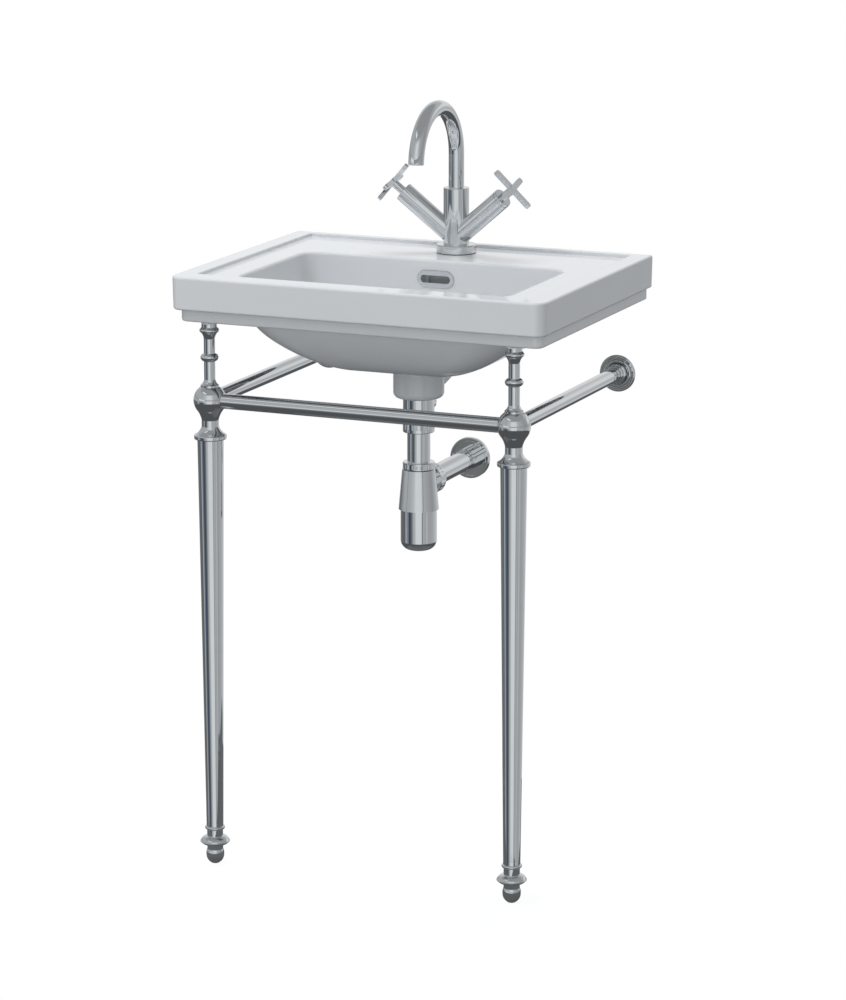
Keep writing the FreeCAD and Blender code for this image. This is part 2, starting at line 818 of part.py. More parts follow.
for side, hand in (("left", -1), ("right", 1)):
    leg_at = leg_x * hand
    foot = new_body(f"{side}_leg_foot", (leg_at, leg_y, 0))
    tip = size.foot_tip_dia / 2
    disc = size.foot_disc_dia / 2
    edge = size.foot_disc_edge / 2
    rim = size.foot_ring_edge
    tube_foot = size.leg_bottom_dia / 2
    turned(
        foot,
        [
            (0, 0),
            (tip, 0),
            (size.foot_ball_dia / 2, size.foot_ball_level, LENS),
            (neck, foot_ball_top, SWELL),
            (neck, foot_disc - size.foot_disc_fall),
            (disc - edge, foot_disc - edge, LENS),
            (disc, foot_disc, QUARTER),
            (disc - edge, foot_disc + edge, QUARTER),
            (neck, foot_disc + size.foot_disc_rise, LENS),
            (neck, foot_ring - rim),
            (size.foot_ring_dia / 2, foot_ring, QUARTER),
            (tube_foot, foot_ring + rim, QUARTER),
            (tube_foot, foot_top),
            (tube_inner - size.slide_gap, foot_top),
            (tube_inner - size.slide_gap, foot_top + size.spigot_length),
            (0, foot_top + size.spigot_length),
        ],
    )
    tube = new_body(f"{side}_leg_tube", (leg_at, leg_y, foot_top))
    turned(
        tube,
        [
            (tube_inner, 0),
            (size.leg_bottom_dia / 2, 0),
            (size.leg_top_dia / 2, tube_length),
            (tube_mouth, tube_length),
        ],
    )
    hub = new_body(f"{side}_leg_hub", (leg_at, leg_y, hub_base))
    centre = rail_level - hub_base
    collar = size.collar_dia / 2
    bell = leg_top + size.collar_lift - hub_base
    neck_low = bell + size.collar_edge + size.collar_neck_gap
    spigot = tube_mouth - size.slide_gap
    turned(
        hub,
        [
            (0, 0),
            (spigot - taper * size.spigot_length, 0),
            (spigot, size.spigot_length),
            (size.leg_top_dia / 2, size.spigot_length),
            (size.leg_top_dia / 2, bell),
            (collar - size.collar_round, bell),
            (collar, bell + size.collar_round, QUARTER),
            (collar, bell + size.collar_edge - size.collar_round),
            (collar - size.collar_round, bell + size.collar_edge, QUARTER),
            (size.ball_neck_dia / 2, neck_low, HOLLOW),
            (size.ball_neck_dia / 2, neck_low + size.ball_neck_length),
            (ball_foot, centre - foot_drop, FAINT_HOLLOW),
            (ball, centre, foot_bulge),
            (cap, centre + cap_rise, ball_bulge),
            (size.stem_thread_dia / 2, centre + cap_rise),
            (size.stem_thread_dia / 2, centre + cap_rise - size.stem_thread_length),
            (0, centre + cap_rise - size.stem_thread_length),
        ],
    )
    front_socket = new_sketch(hub, "YZ_Plane", (0, 0, socket_floor * -hand))
    circle(front_socket, socket, up=centre)
    raised(hub, front_socket, ball, kind="Pocket", backward=hand < 0)
    side_socket = new_sketch(hub, "XZ_Plane", (0, 0, -socket_floor))
    circle(side_socket, socket, up=centre)
    raised(hub, side_socket, ball, kind="Pocket")
    spindle = new_body(f"{side}_leg_spindle", (leg_at, leg_y, spindle_base))
    thread = size.stem_thread_dia / 2 - size.slide_gap
    base = size.stem_thread_length
    mid_low = ball_top + size.mid_ring_gap - spindle_base
    top_mid = pad_level - size.top_ring_drop - spindle_base
    top_reach = size.top_ring_dia / 2
    half_edge = size.top_ring_edge / 2
    mid_top = mid_low + size.mid_ring_height
    turned(
        spindle,
        [
            (0, 0),
            (thread, 0),
            (thread, base),
            (cap, base),
            (cap, base + size.flare_rim),
            (stem, base + size.flare_rise, HOLLOW),
            (stem, mid_low),
            (size.mid_ring_dia / 2, (mid_low + mid_top) / 2, LENS),
            (stem, mid_top, LENS),
            (stem, top_mid - size.top_ring_flare),
            (top_reach - half_edge / 2, top_mid - half_edge, HOLLOW),
            (top_reach, top_mid, LENS),
            (top_reach - half_edge / 2, top_mid + half_edge, LENS),
            (size.top_cap_dia / 2, top_mid + half_edge + size.top_ring_step),
            (size.top_cap_dia / 2, pad_level - spindle_base),
            (0, pad_level - spindle_base),
        ],
    )
    pad = new_body(f"{side}_leg_pad", (leg_at, leg_y, pad_level))
    pad_edge = size.top_cap_dia / 2
    turned(pad, [(0, 0), (pad_edge, 0), (pad_edge, size.pad_thickness), (0, size.pad_thickness)])

# rails and their wall flanges
rail = size.rail_dia / 2
rail_bore = rail - size.rail_wall
rail_start = socket_floor + size.end_gap
front_rail = new_body("front_rail", (rail_start - leg_x, leg_y, rail_level), ACROSS)
ring(front_rail, rail_bore, rail, leg_x * 2 - rail_start * 2)
plug_in = rail_bore - size.slide_gap
for side, hand in (("left", -1), ("right", 1)):
    side_rail = new_body(f"{side}_side_rail", (leg_x * hand, leg_y + rail_start, rail_level), TO_WALL)
    ring(side_rail, rail_bore, rail, wall_y - size.rail_wall_gap - leg_y - rail_start)
    rail_flange = new_body(f"{side}_rail_flange", (leg_x * hand, wall_y, rail_level), FROM_WALL)
    rim = size.rail_flange_dia / 2
    step = size.rail_flange_step
    shoulder = size.rail_neck_dia / 2
    turned(
        rail_flange,
        [
            (0, 0),
            (rim, 0),
            (rim, step),
            (rim - step, step * 2, QUARTER),
            (rim - step * 2, step * 2),
            (rim - step * 2.5, step * 1.5),
            (rim - step * 3.5, step * 1.5),
            (rim - step * 4.5, step * 2.5, QUARTER),
            (rim - step * 5.5, step * 2.5),
            (shoulder + step * 3.5, step, SWELL),
            (shoulder + step * 3.5, step * 2.5),
            (shoulder + step * 2, step * 4, QUARTER),
            (shoulder + step * 2, step * 6),
            (shoulder + step, step * 7, QUARTER),
            (shoulder + step, step * 10),
            (shoulder, step * 11, QUARTER),
            (shoulder, size.rail_wall_gap - size.rail_collar),
            (rail, size.rail_wall_gap - size.rail_collar),
            (rail, size.rail_wall_gap),
            (plug_in, size.rail_wall_gap),
            (plug_in, size.rail_wall_gap + size.rail_plug_length),
            (0, size.rail_wall_gap + size.rail_plug_length),
        ],
    )

# waste, on the drain's axis
at_drain = (0, drain_y)
thread = size.waste_thread_dia / 2
flange_top = flange_seat + size.waste_seal + size.waste_flange_height
port_level = boss_low - size.port_drop
guide_level = boss_low + size.guide_lift
waste_low = port_level + size.port_dia / 2 + size.end_gap
flange_base = flange_seat + size.waste_seal - waste_low
waste_bore = size.waste_bore_dia / 2
plug = size.plug_dia / 2
plug_seat = plug + size.end_gap
waste_flange = new_body("waste_flange", (*at_drain, waste_low))
turned(
    waste_flange,
    [
        (waste_bore, 0),
        (thread, 0),
        (thread, flange_base),
        (size.waste_flange_dia / 2, flange_base),
        (size.waste_flange_dia / 2, flange_base + size.waste_flange_height / 2),
        (size.waste_flange_dia / 2 - size.waste_flange_height, flange_base + size.waste_flange_height, SWELL),
        (plug_seat + size.edge_ease, flange_base + size.waste_flange_height),
        (waste_bore + size.edge_ease, flange_base),
        (waste_bore, flange_base - size.edge_ease),
    ],
)
waste_flange_seal = new_body("waste_flange_seal", (*at_drain, flange_seat))
ring(waste_flange_seal, thread + size.slide_gap, size.waste_flange_dia / 2, size.waste_seal)
waste_gasket = new_body("waste_gasket", (*at_drain, gasket_seat - size.gasket_thickness))
gasket_rim = size.gasket_recess_dia / 2 - size.end_gap
ring(waste_gasket, thread + size.slide_gap, gasket_rim, size.gasket_thickness)
waste_body_low = boss_low - size.port_body_drop
waste_body_top = gasket_seat - size.gasket_thickness - waste_body_low
port_body = size.port_body_dia / 2
tail = size.tube_dia / 2 + size.tail_wall
tube_way = size.tube_dia / 2 + size.slide_gap
tail_low = waste_body_low - size.tail_length
waste_body = new_body("waste_body", (*at_drain, tail_low))
body_up = size.tail_length
turned(
    waste_body,
    [
        (tube_way, 0),
        (tail, 0),
        (tail, body_up),
        (port_body - size.edge_ease, body_up),
        (port_body, body_up + size.edge_ease),
        (port_body, boss_low - tail_low),
        (gasket_rim, boss_low - tail_low),
        (gasket_rim, body_up + waste_body_top),
        (thread + size.slide_gap, body_up + waste_body_top),
        (thread + size.slide_gap, waste_low - tail_low),
        (waste_bore, waste_low - tail_low),
        (waste_bore, body_up + size.tube_entry),
        (tube_way, body_up + size.tube_entry),
    ],
)
port_root = waste_bore + size.edge_ease
port = new_sketch(waste_body, "XZ_Plane", (0, 0, -port_root))
circle(port, size.port_dia / 2, up=port_level - tail_low)
raised(waste_body, port, size.port_reach - port_root, backward=True)
port_way = new_sketch(waste_body, "XZ_Plane")
circle(port_way, size.port_dia / 2 - size.port_wall, up=port_level - tail_low)
raised(waste_body, port_way, size.port_reach, kind="Pocket")
cap_y = drain_y + size.port_reach - size.port_cap_overlap
waste_port_cap = new_body("waste_port_cap", (0, cap_y, port_level), TO_WALL)
cap_bore = size.port_dia / 2 + size.slide_gap
turned(
    waste_port_cap,
    [
        (cap_bore, 0),
        (size.port_cap_dia / 2, 0),
        (size.port_cap_dia / 2, size.port_cap_length - size.port_cap_ease),
        (size.port_cap_dia / 2 - size.port_cap_ease, size.port_cap_length, QUARTER),
        (0, size.port_cap_length),
        (0, size.port_cap_overlap),
        (cap_bore, size.port_cap_overlap),
    ],
)

# push plug: the guide is pressed into the flange's tube, and the plug rides on its stem
waste_guide = new_body("waste_guide", (*at_drain, guide_level))
guide_hub = size.plug_stem_dia / 2 + size.slide_gap
turned(
    waste_guide,
    [
        (guide_hub, 0),
        (guide_hub + size.guide_wall, 0),
        (guide_hub + size.guide_wall, size.guide_plate),
        (waste_bore - size.slide_gap, size.guide_plate),
        (waste_bore - size.slide_gap, size.guide_plate * 2),
        (guide_hub + size.guide_wall, size.guide_plate * 2),
        (guide_hub + size.guide_wall, size.guide_height),
        (guide_hub, size.guide_height),
    ],
)
holes = new_sketch(waste_guide, "XY_Plane", (0, 0, size.guide_plate * 2))
circle(holes, size.guide_hole_dia / 2, across=(waste_bore + guide_hub + size.guide_wall) / 2)
guide_hole = raised(waste_guide, holes, size.guide_plate, kind="Pocket")
patterned(waste_guide, guide_hole, 6)
plug_level = flange_top - size.plug_sunk
stem_hole = size.plug_stem_dia / 2
waste_plug = new_body("waste_plug", (*at_drain, plug_level))
turned(
    waste_plug,
    [
        (stem_hole, 0),
        (plug - size.edge_ease, 0),
        (plug, size.edge_ease),
        (plug, size.plug_rise - size.plug_ease),
        (plug - size.plug_ease, size.plug_rise, QUARTER),
        (0, size.plug_rise),
        (0, size.plug_rise / 2),
        (stem_hole, size.plug_rise / 2),
    ],
)
stem_low = guide_level - size.plug_travel * 0.5
plug_stem = new_body("waste_plug_stem", (*at_drain, stem_low))
turned(
    plug_stem,
    [
        (0, 0),
        (stem_hole - size.slide_gap, 0),
        (stem_hole - size.slide_gap, plug_level + size.plug_rise / 2 - stem_low),
        (0, plug_level + size.plug_rise / 2 - stem_low),
    ],
)
plug_seal = new_body("waste_plug_seal", (*at_drain, plug_level - size.plug_seal_height))
ring(plug_seal, stem_hole, waste_bore - size.end_gap * 2, size.plug_seal_height)


def grooved(body, radius, low, height, count):
    """Shallow grip grooves round a nut."""
    doc.recompute()
    groove = new_sketch(body, "XY_Plane", (0, 0, low))
    circle(groove, size.grip_groove, across=radius + size.grip_groove - size.grip_depth)
    cut = raised(body, groove, height, kind="Pocket", backward=True)
    patterned(body, cut, count)


def union_nut(label, spot, turn, height, outer, inner, way):
    """A union nut: a threaded skirt and a lip at its far end round the way through it."""
    nut = new_body(label, spot, turn)
    lip = size.union_lip
    turned(
        nut,
        [
            (way, 0),
            (outer - size.edge_ease, 0),
            (outer, size.edge_ease, QUARTER),
            (outer, height - size.edge_ease),
            (outer - size.edge_ease, height, QUARTER),
            (inner, height),
            (inner, lip),
            (way, lip),
        ],
    )
    return nut


# trap: the tube from the waste, the tapered body, the cup below it and the outlet to the wall
union = size.union_dia / 2
inlet_nut_low = tail_low - size.union_washer - size.union_lip
nut_height = waste_body_low - size.end_gap - inlet_nut_low
trap_shoulder = inlet_nut_low - size.inlet_tube_shown - size.trap_union_height
trap_low = trap_shoulder - size.trap_body_height
tube_low = trap_low - size.tube_dip
outlet_level = trap_shoulder - size.outlet_drop
bottle_low = trap_low - size.bottle_shown
inlet_nut = union_nut(
    "trap_inlet_nut",
    (*at_drain, inlet_nut_low),
    LEVEL,
    nut_height,
    union,
    tail + size.slide_gap,
    tube_way,
)
grooved(inlet_nut, union, size.union_lip * 2, nut_height - size.union_lip * 3, 24)
inlet_washer = new_body("trap_inlet_washer", (*at_drain, tail_low - size.union_washer))
ring(inlet_washer, tube_way, tail - size.slide_gap, size.union_washer)
inlet_tube = new_body("trap_inlet_tube", (*at_drain, tube_low))
tube_top = waste_body_low + size.tube_entry - size.end_gap
ring(inlet_tube, size.tube_dia / 2 - size.tube_wall, size.tube_dia / 2, tube_top - tube_low)
collar = size.trap_thread_dia / 2
collar_height = size.trap_union_height - size.union_washer - size.union_lip - size.end_gap
trap_top = trap_shoulder - trap_low
skirt = size.skirt_bottom_dia / 2
crown = size.skirt_top_dia / 2
bottle = size.bottle_dia / 2
bottle_thread = size.bottle_thread_dia / 2
shoulder_gap = size.skirt_overlap
thread_end = shoulder_gap + size.bottle_thread_length + size.edge_ease
outlet_up = outlet_level - trap_low
trap_body = new_body("trap_body", (*at_drain, trap_low))
turned(
    trap_body,
    [
        (bottle + size.skirt_gap, 0),
        (skirt, 0),
        (crown, trap_top),
        (collar, trap_top),
        (collar, trap_top + collar_height),
        (tube_way, trap_top + collar_height),
        (tube_way, trap_top - size.trap_roof),
        (crown - size.trap_wall, trap_top - size.trap_roof),
        (bottle_thread - size.trap_wall, thread_end),
        (bottle_thread + size.slide_gap, thread_end),
        (bottle_thread + size.slide_gap, shoulder_gap),
        (bottle + size.skirt_gap, shoulder_gap),
    ],
)
outlet = size.outlet_dia / 2
outlet_way = outlet + size.slide_gap
port_end = size.outlet_union_reach - size.union_lip - size.union_washer
spout_port = new_sketch(trap_body, "XZ_Plane", (0, 0, -crown + size.trap_wall))
circle(spout_port, collar - size.union_lip / 2, up=outlet_up)
raised(trap_body, spout_port, port_end - crown + size.trap_wall, backward=True)
outlet_bore = new_sketch(trap_body, "XZ_Plane", (0, 0, -size.tube_dia / 2))
circle(outlet_bore, outlet_way, up=outlet_up)
raised(trap_body, outlet_bore, port_end, kind="Pocket")
top_nut_top = trap_shoulder + size.trap_union_height + size.end_gap
top_nut = union_nut(
    "trap_top_nut",
    (*at_drain, top_nut_top),
    (0, 180, 0),
    size.trap_union_height,
    union,
    collar + size.slide_gap,
    tube_way,
)
grooved(top_nut, union, size.union_lip, size.trap_union_height - size.union_lip * 2, 24)
top_washer = new_body("trap_top_washer", (*at_drain, trap_shoulder + collar_height))
ring(top_washer, tube_way, collar - size.slide_gap, size.union_washer)
trap_bottle = new_body("trap_bottle", (*at_drain, bottle_low))
shoulder = trap_low + shoulder_gap - size.bottle_seal - bottle_low
bottle_top = shoulder + size.bottle_seal + size.bottle_thread_length
cup = bottle_thread - size.bottle_wall
turned(
    trap_bottle,
    [
        (0, 0),
        (bottle - size.bottle_dome, size.bottle_dome * 0.18, 0.08),
        (bottle, size.bottle_dome * 1.3, LENS),
        (bottle, shoulder),
        (bottle_thread, shoulder),
        (bottle_thread, bottle_top),
        (cup, bottle_top),
        (cup, size.bottle_dome * 1.4),
        (cup - size.bottle_dome, size.bottle_wall * 2, -LENS),
        (0, size.bottle_wall * 1.5, -0.08),
    ],
)
bottle_seal = new_body("trap_bottle_seal", (*at_drain, bottle_low + shoulder))
ring(bottle_seal, bottle_thread + size.slide_gap, bottle, size.bottle_seal)
outlet_nut_y = drain_y + size.outlet_union_reach
outlet_thread = collar - size.union_lip / 2
outlet_nut = union_nut(
    "trap_outlet_nut",
    (0, outlet_nut_y, outlet_level),
    FROM_WALL,
    size.outlet_union_height,
    union,
    outlet_thread + size.slide_gap,
    outlet_way,
)
grooved(outlet_nut, union, size.union_lip * 2, size.outlet_union_height - size.union_lip * 3, 24)
outlet_washer = new_body("trap_outlet_washer", (0, drain_y + port_end, outlet_level), TO_WALL)
ring(outlet_washer, outlet_way, outlet_thread - size.slide_gap, size.union_washer)
pipe_start = drain_y + crown + size.trap_wall
outlet_pipe = new_body("trap_outlet_pipe", (0, pipe_start, outlet_level), TO_WALL)
ring(outlet_pipe, outlet - size.tube_wall, outlet, wall_y - pipe_start)
outlet_flange = new_body("outlet_wall_flange", (0, wall_y, outlet_level), FROM_WALL)
plate = size.outlet_flange_thickness
rim = size.outlet_flange_dia / 2
bank = size.outlet_rim_width
groove = size.outlet_rim_groove
sleeve_outer = outlet + size.outlet_sleeve_wall
turned(
    outlet_flange,
    [
        (outlet_way, 0),
        (rim, 0),
        (rim, plate - size.edge_ease),
        (rim - size.edge_ease, plate, QUARTER),
        (rim - bank, plate),
        (rim - bank, plate - groove),
        (rim - bank - groove, plate - groove),
        (rim - bank - groove, plate - size.outlet_face_drop),
        (sleeve_outer, plate - size.outlet_face_drop),
        (sleeve_outer, size.outlet_sleeve_length - size.outlet_sleeve_ease),
        (sleeve_outer - size.outlet_sleeve_ease, size.outlet_sleeve_length, QUARTER),
        (outlet_way, size.outlet_sleeve_length),
    ],
)

# tap: base ring and seal on the deck, the Y-shaped body, and its fixing under the deck
seal_low = deck_z
base_low = deck_z + size.base_seal
base_top = deck_z + size.base_ring_height
tap_radius = size.tap_body_dia / 2
shank = size.shank_dia / 2
base = size.base_ring_dia / 2
base_seal = new_body("tap_base_seal", (0, tap_y, seal_low))
ring(base_seal, shank + size.slide_gap, base - size.base_seal, size.base_seal)
base_ring = new_body("tap_base_ring", (0, tap_y, base_low))
ring_height = base_top - base_low
base_step = size.base_step
turned(
    base_ring,
    [
        (shank + size.slide_gap, 0),
        (base, 0),
        (base, ring_height - size.base_ring_ease),
        (base - size.base_ring_ease, ring_height, QUARTER),
        (tap_radius + size.slide_gap, ring_height),
        (tap_radius + size.slide_gap, base_step),
        (shank + size.slide_gap, base_step),
    ],
)
tap_low = base_low + base_step
tap_body = new_body("tap_body", (0, tap_y, tap_low))
tap_height = base_top + size.tap_body_height - tap_low
turned(
    tap_body,
    [
        (0, 0),
        (tap_radius, 0),
        (tap_radius, tap_height - size.edge_ease),
        (tap_radius - size.edge_ease, tap_height, QUARTER),
        (0, tap_height),
    ],
)
arm = size.arm_dia / 2
arm_root = base_top + size.arm_root_rise
valve = size.cartridge_dia / 2 + size.slide_gap
pitch = 90 - size.arm_tilt
# the arms rise and lean forwards: their headings about Z, and each handle's own turn at rest
headings = {"left": size.arm_lean - 180, "right": -size.arm_lean}
twists = {"left": -size.left_twist, "right": size.right_twist}


def on_arm(side, reach):
    """The point on a tap arm's axis at a distance from the tap's axis, from the tap's own axis."""
    level = cosine(size.arm_tilt) * reach
    heading = headings[side]
    return (level * cosine(heading), level * sine(heading), sine(size.arm_tilt) * reach)


def body_on_arm(label, side, reach):
    x, y, z = on_arm(side, reach)
    return new_body(label, (x, tap_y + y, arm_root + z), (headings[side], pitch, 0))


def sketch_on_arm(side, reach):
    x, y, z = on_arm(side, reach)
    return new_sketch(tap_body, "XY_Plane", (x, y, arm_root - tap_low + z), (headings[side], pitch, 0))


for side in headings:
    tube_end = sketch_on_arm(side, size.arm_length)
    circle(tube_end, arm)
    raised(tap_body, tube_end, size.arm_length, backward=True)
spout_radius = size.spout_dia / 2
water = size.waterway_dia / 2
mouth_cuts = (
    (tap_height, spout_radius + size.slide_gap, size.spout_socket),
    (tap_height, water, tap_height - arm_root + tap_low),
    (size.shank_thread, shank - size.shank_wall, size.shank_thread),
)
for level, radius, depth in mouth_cuts:
    cut = new_sketch(tap_body, "XY_Plane", (0, 0, level))
    circle(cut, radius)
    raised(tap_body, cut, depth, kind="Pocket")
for side in headings:
    for radius, depth in ((valve, size.cartridge_length), (water / 2, size.arm_length)):
        cut = sketch_on_arm(side, size.arm_length)
        circle(cut, radius)
        raised(tap_body, cut, depth, kind="Pocket")

# tap shank: a threaded stud screwed up into the body, with two tail holes; washer and nut under the deck
shank_low = deck_underside - size.shank_length
tap_shank = new_body("tap_shank", (0, tap_y, shank_low))
stud = shank - size.shank_wall - size.slide_gap
turned(
    tap_shank,
    [
        (0, 0),
        (shank, 0),
        (shank, tap_low - shank_low),
        (stud, tap_low - shank_low),
        (stud, tap_low - shank_low + size.shank_thread - size.end_gap),
        (0, tap_low - shank_low + size.shank_thread - size.end_gap),
    ],
)
tail_holes = new_sketch(tap_shank, "XY_Plane")
tail_radius = size.supply_tail_dia / 2
tail_thread = size.tail_thread_dia / 2
tail_spots = (-size.supply_tail_spacing / 2, size.supply_tail_spacing / 2)
for across in tail_spots:
    circle(tail_holes, tail_thread + size.slide_gap, across)
raised(tap_shank, tail_holes, size.tail_hole_depth, kind="Pocket", backward=True)
tails_low = shank_low - size.tail_relief - size.supply_tail_length
tap_tails = new_body("tap_tails", (0, tap_y, tails_low))
tail_parts = (
    (tail_radius, 0, size.supply_tail_length),
    (tail_thread, size.supply_tail_length, size.tail_relief + size.tail_hole_depth),
)
for radius, low, length in tail_parts:
    tails = new_sketch(tap_tails, "XY_Plane", (0, 0, low))
    for across in tail_spots:
        circle(tails, radius, across)
        circle(tails, tail_radius - size.supply_tail_wall, across)
    raised(tap_tails, tails, length)
tap_washer = new_body("tap_washer", (0, tap_y, deck_underside - size.washer_thickness))
ring(tap_washer, shank + size.slide_gap, size.washer_dia / 2, size.washer_thickness)
backnut_low = deck_underside - size.washer_thickness - size.backnut_height
backnut = new_body("tap_backnut", (0, tap_y, backnut_low))
hexagon = new_sketch(backnut, "XY_Plane")
flats = size.backnut_flats / 2
points = flats * 2 / 3 ** 0.5
corners = ((1, 0), (0.5, 1), (-0.5, 1), (-1, 0), (-0.5, -1), (0.5, -1))
outline(hexagon, [(points * across, flats * up) for across, up in corners])
raised(backnut, hexagon, size.backnut_height)
backnut_hole = new_sketch(backnut, "XY_Plane", (0, 0, size.backnut_height))
circle(backnut_hole, shank + size.slide_gap)
raised(backnut, backnut_hole, size.backnut_height, kind="Pocket")

# valves and cross handles on the arms; spindle and handle turn together
for side in headings:
    cartridge = body_on_arm(f"{side}_cartridge", side, size.arm_length - size.cartridge_length)
    spindle_way = size.spindle_dia / 2 + size.slide_gap
    core = size.cartridge_length
    turned(
        cartridge,
        [
            (0, 0),
            (valve - size.slide_gap, 0),
            (valve - size.slide_gap, core),
            (spindle_way, core),
            (spindle_way, size.spindle_floor),
            (0, size.spindle_floor),
        ],
    )
    bonnet = body_on_arm(f"{side}_bonnet", side, size.arm_length)
    stem_way = size.handle_stem_dia / 2 + size.slide_gap
    turned(
        bonnet,
        [
            (spindle_way, 0),
            (arm - size.bonnet_inset, 0),
            (arm - size.bonnet_inset, size.arm_gap),
            (arm, size.arm_gap),
            (arm, size.arm_gap + size.bonnet_height - size.edge_ease),
            (arm - size.edge_ease, size.arm_gap + size.bonnet_height, QUARTER),
            (stem_way, size.arm_gap + size.bonnet_height),
            (stem_way, size.bonnet_height / 2),
            (spindle_way, size.bonnet_height / 2),
        ],
    )
    spindle_low = size.arm_length - size.cartridge_length + size.spindle_floor + size.end_gap
    spindle = body_on_arm(f"{side}_valve_spindle", side, spindle_low)
    handle_low = size.handle_level - size.handle_bar_depth / 2
    bonnet_floor = size.arm_length + size.bonnet_height / 2 + size.end_gap
    spindle_top = handle_low - spindle_low + size.handle_bar_depth - size.handle_cap
    turned(
        spindle,
        [
            (0, 0),
            (size.spindle_dia / 2, 0),
            (size.spindle_dia / 2, bonnet_floor - spindle_low),
            (size.handle_stem_dia / 2, bonnet_floor - spindle_low),
            (size.handle_stem_dia / 2, handle_low - spindle_low),
            (size.spindle_dia / 2, handle_low - spindle_low),
            (size.spindle_dia / 2, spindle_top),
            (0, spindle_top),
        ],
    )
    handle = body_on_arm(f"{side}_handle", side, handle_low)
    depth = size.handle_bar_depth
    hub_radius = size.handle_hub_dia / 2
    turned(
        handle,
        [
            (size.spindle_dia / 2 + size.slide_gap, 0),
            (hub_radius, 0),
            (hub_radius, depth),
            (hub_radius - size.handle_cap, depth + size.handle_cap, QUARTER),
            (0, depth + size.handle_cap),
            (0, depth - size.handle_cap + size.end_gap),
            (size.spindle_dia / 2 + size.slide_gap, depth - size.handle_cap + size.end_gap),
        ],
    )
    bar = new_sketch(handle, "XY_Plane", (0, 0, 0), (twists[side], 0, 0))
    half_bar = size.handle_bar_width / 2
    reach = size.handle_span / 2
    start = size.spindle_dia / 2 + size.handle_cap
    outline(
        bar,
        [
            (start, -half_bar),
            (reach - half_bar, -half_bar),
            (reach, 0, QUARTER),
            (reach - half_bar, half_bar, QUARTER),
            (start, half_bar),
        ],
    )
    patterned(handle, raised(handle, bar, depth), 4)

# spout: a bent tube that turns in the body's socket, with two seals and an aerator in its mouth
spout_low = base_top + size.tap_body_height - size.spout_socket + size.end_gap
spout = new_body("spout", (0, tap_y, spout_low))
wall_ring = new_sketch(spout, "XY_Plane")
circle(wall_ring, spout_radius)
circle(wall_ring, spout_radius - size.spout_wall)
path = new_sketch(spout, "YZ_Plane")
arc = size.spout_arc
rise = base_top + size.tap_body_height + size.spout_arc_rise - spout_low
straight = path.addGeometry(Part.LineSegment(Vector(0, 0, 0), Vector(0, rise.value, 0)))
curve = Part.Circle(Vector(-arc.value, rise.value, 0), Vector(0, 0, 1), arc.value)
bend = path.addGeometry(Part.ArcOfCircle(curve, 0, math.radians(size.spout_turn.value)))
path.addConstraint(Sketcher.Constraint("Coincident", straight, 1, -1, 1))
path.addConstraint(Sketcher.Constraint("PointOnObject", straight, 2, -2))
path.addConstraint(Sketcher.Constraint("Coincident", straight, 2, bend, 1))
tie(path, "DistanceY", rise, -1, 1, straight, 2)
tie(path, "DistanceX", -arc, -1, 1, bend, 3)
tie(path, "DistanceY", rise, -1, 1, bend, 3)
end_rise = rise + arc * sine(size.spout_turn)
tie(path, "DistanceY", end_rise, -1, 1, bend, 2)
pipe = feature(spout, "AdditivePipe", wall_ring)
pipe.Spine = path
seal_grooves = (size.spout_socket * 0.3, size.spout_socket * 0.6)
gap = size.slide_gap
inner = spout_radius - size.seal_groove
beyond = spout_radius + size.seal_groove
for low in seal_grooves:
    high = low + size.seal_width
    turned(spout, [(inner, low), (beyond, low), (beyond, high), (inner, high)], "Groove")
seals = new_body("spout_seals", (0, tap_y, spout_low))
for low in seal_grooves:
    ring(seals, inner + gap, spout_radius - gap, low + size.seal_width - gap, low + gap)
end_y = tap_y - arc + arc * cosine(size.spout_turn)
aerator = new_body("aerator", (0, end_y, spout_low + end_rise), (0, 0, size.spout_turn))
aerator_outer = spout_radius - size.spout_wall - size.end_gap
turned(
    aerator,
    [
        (aerator_outer - size.aerator_wall, -size.aerator_length),
        (aerator_outer, -size.aerator_length),
        (aerator_outer, 0),
        (spout_radius - size.aerator_shoulder, 0),
        (spout_radius - size.aerator_shoulder, size.aerator_lip),
        (aerator_outer - size.aerator_wall, size.aerator_lip),
        (aerator_outer - size.aerator_wall, 0),
        (0, 0),
        (0, -size.aerator_lip),
        (aerator_outer - size.aerator_wall, -size.aerator_lip),
    ],
)

doc.recompute()
for thing in doc.Objects:
    if "Invalid" in thing.State or "Error" in thing.State:
        raise RuntimeError(f"{thing.Label} did not build: {thing.State}")
os.makedirs("parts", exist_ok=True)
bodies = [thing for thing in doc.Objects if thing.TypeId == "PartDesign::Body"]
for body in bodies:
    if body.Shape.isNull() or not body.Shape.isValid() or not body.Shape.Solids:
        raise RuntimeError(f"{body.Label} has no valid solid")
for body in bodies:
    body.Shape.exportStep(f"parts/{body.Label}.step")
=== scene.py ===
import json
import math

